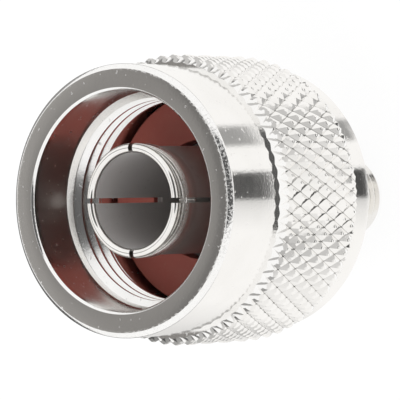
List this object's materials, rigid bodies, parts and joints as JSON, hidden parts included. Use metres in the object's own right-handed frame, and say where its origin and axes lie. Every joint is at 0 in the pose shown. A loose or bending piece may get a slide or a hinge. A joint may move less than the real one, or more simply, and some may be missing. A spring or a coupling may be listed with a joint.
{
  "type": "coaxial connector adapter",
  "caption": "Plated coaxial adapter: a plug with a knurled coupling nut, slotted outer contact and red face gasket at one end, a small threaded jack at the other.",
  "frame": {"origin": "centre of the jack's end face, on the axis, which is where the adapter stands", "axes": "+Z along the axis from the jack to the plug's mouth; the outer contact's saw cuts lie on X and Y, and the neck's wrench flats face +X and -X"},
  "size_m": [0.0216, 0.0216, 0.0296],
  "materials": {
    "nut_plating": "bright nickel plate over brass",
    "body_plating": "bright nickel plate over brass",
    "contact_plating": "silver plate over bronze",
    "spring_steel": "stamped spring steel",
    "silicone": "matte red-brown silicone",
    "insulator": "turned white PTFE",
    "bead_plastic": "dark grey moulded plastic",
    "gold_plating": "gold plate over brass"
  },
  "bodies": {
    "core": {"front_body": "body_plating", "outer_contact": "contact_plating", "face_gasket": "silicone", "pin_bead": "bead_plastic", "centre_pin": "contact_plating", "socket_contact": "gold_plating", "jack_insulator": "insulator", "jack_shell": "body_plating"},
    "ring": {"snap_ring": "spring_steel"},
    "nut": {"coupling_nut": "nut_plating"}
  },
  "joints": [
    {"name": "nut_float", "type": "slide", "parent": "core", "child": "ring", "axis": [0, 0, 1], "range_m": [0, 0.0003]},
    {"name": "nut_turn", "type": "hinge", "parent": "ring", "child": "nut", "pos_m": [0, 0, 0.0205], "axis": [0, 0, 1], "continuous": true}
  ]
}
